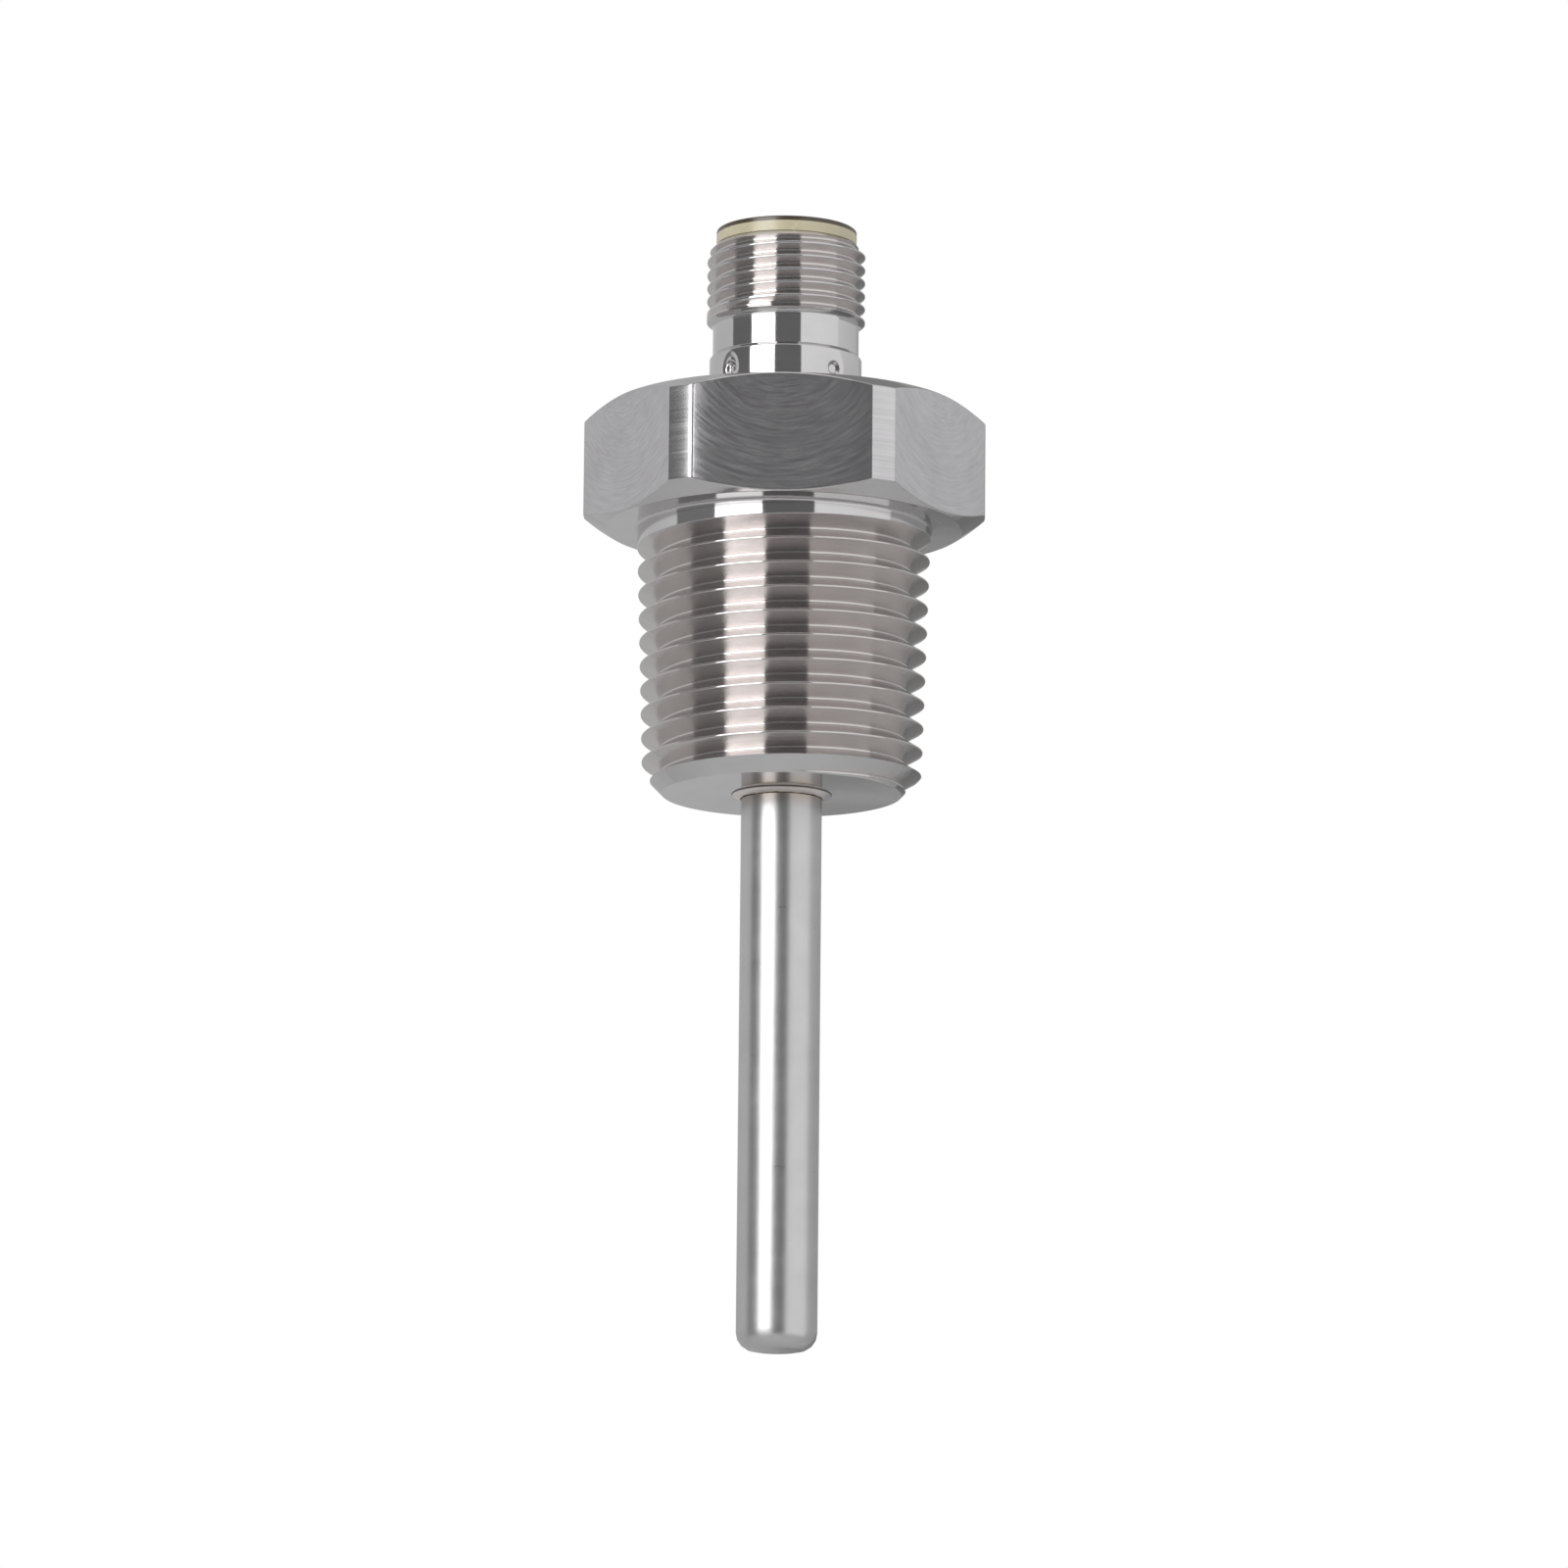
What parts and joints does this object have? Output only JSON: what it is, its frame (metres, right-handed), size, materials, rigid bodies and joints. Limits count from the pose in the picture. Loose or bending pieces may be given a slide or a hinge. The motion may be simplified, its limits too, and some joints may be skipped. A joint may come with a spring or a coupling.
{
  "type": "temperature sensor",
  "caption": "Screw-in temperature sensor: stainless hexagon fitting with tapered pipe thread, slim closed probe below and round threaded plug connector above.",
  "frame": {"origin": "on the sensor's axis, in the plane under the hexagon where the process thread begins", "axes": "+Z along the axis towards the connector, -Z towards the probe tip, a hexagon flat facing -Y"},
  "size_m": [0.03, 0.027, 0.0846],
  "materials": {
    "turned_stainless": "fine turned and milled stainless steel, bright",
    "drawn_stainless": "drawn stainless tube, satin",
    "carrier_plastic": "pale yellow moulded plastic, smooth",
    "contact_gold": "gold plated, bright",
    "seal_rubber": "black seal rubber",
    "lead_cover": "white lead insulation",
    "insulator_ceramic": "fired alumina, matte",
    "tab_metal": "nickel strip",
    "fill_paste": "heat-conducting fill, dull",
    "potting_resin": "cast resin"
  },
  "bodies": {
    "root": {"process_fitting": "turned_stainless", "connector_shell": "turned_stainless", "contact_carrier": "carrier_plastic", "contact_pin_1": "contact_gold", "contact_pin_2": "contact_gold", "contact_pin_3": "contact_gold", "contact_pin_4": "contact_gold", "shell_seal": "seal_rubber", "lead_wire_1": "lead_cover", "lead_wire_2": "lead_cover", "lead_wire_3": "lead_cover", "lead_wire_4": "lead_cover", "lead_insulator": "insulator_ceramic", "splice_tab_1": "tab_metal", "splice_tab_2": "tab_metal", "platinum_element": "insulator_ceramic", "thermal_filler": "fill_paste", "potting_compound": "potting_resin", "probe_sheath": "drawn_stainless", "weld_bead": "drawn_stainless"}
  },
  "joints": []
}
